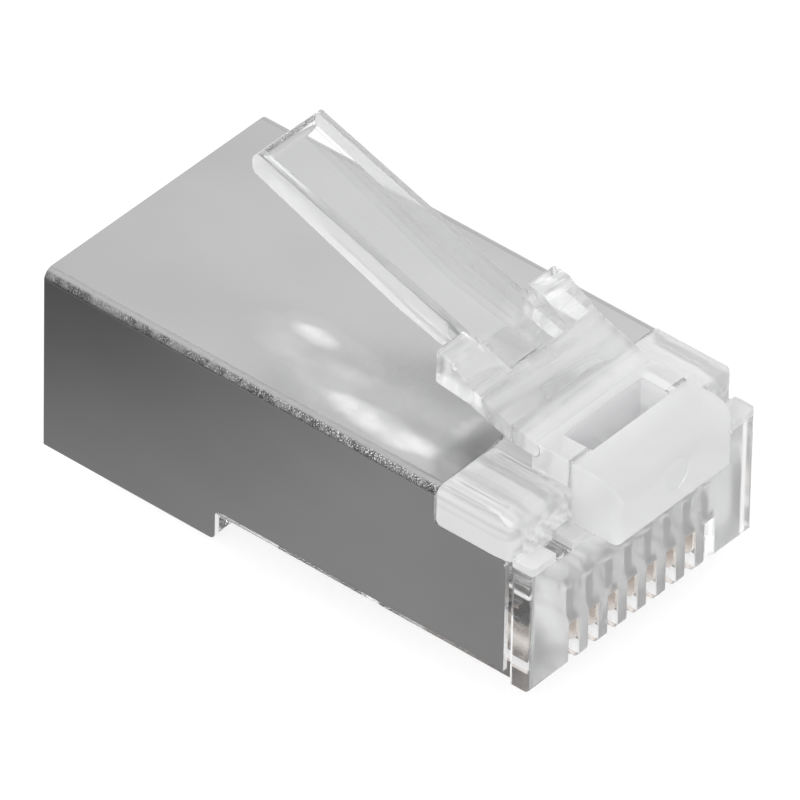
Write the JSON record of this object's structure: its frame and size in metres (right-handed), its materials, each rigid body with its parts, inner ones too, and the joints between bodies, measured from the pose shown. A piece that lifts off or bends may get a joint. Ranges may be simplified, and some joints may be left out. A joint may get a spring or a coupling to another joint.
{
  "type": "rj45 modular plug",
  "caption": "Shielded modular plug for network cable: clear moulded body with a sprung latch lever, folded plated metal shield and gold blade contacts in an open comb.",
  "frame": {"origin": "On the comb face, on the centre plane, level with the comb's underside", "axes": "+X across the plug, +Y from the comb face to the cable end, +Z towards the latch side"},
  "size_m": [0.0116, 0.0233, 0.0136],
  "materials": {
    "clear_plastic": "gloss",
    "plated_sheet": "satin",
    "gold_contact": "gloss"
  },
  "bodies": {
    "plug": {"housing": "clear_plastic", "shield": "plated_sheet", "contact_1": "gold_contact", "contact_2": "gold_contact", "contact_3": "gold_contact", "contact_4": "gold_contact", "contact_5": "gold_contact", "contact_6": "gold_contact", "contact_7": "gold_contact", "contact_8": "gold_contact"},
    "latch": {"latch": "clear_plastic"}
  },
  "joints": [
    {"name": "latch_press", "type": "hinge", "parent": "plug", "child": "latch", "pos_m": [0, 0.0025, 0.00765], "axis": [1, 0, 0], "range_deg": [-16, 0], "stiffness_Nm_per_rad": 0.1}
  ]
}
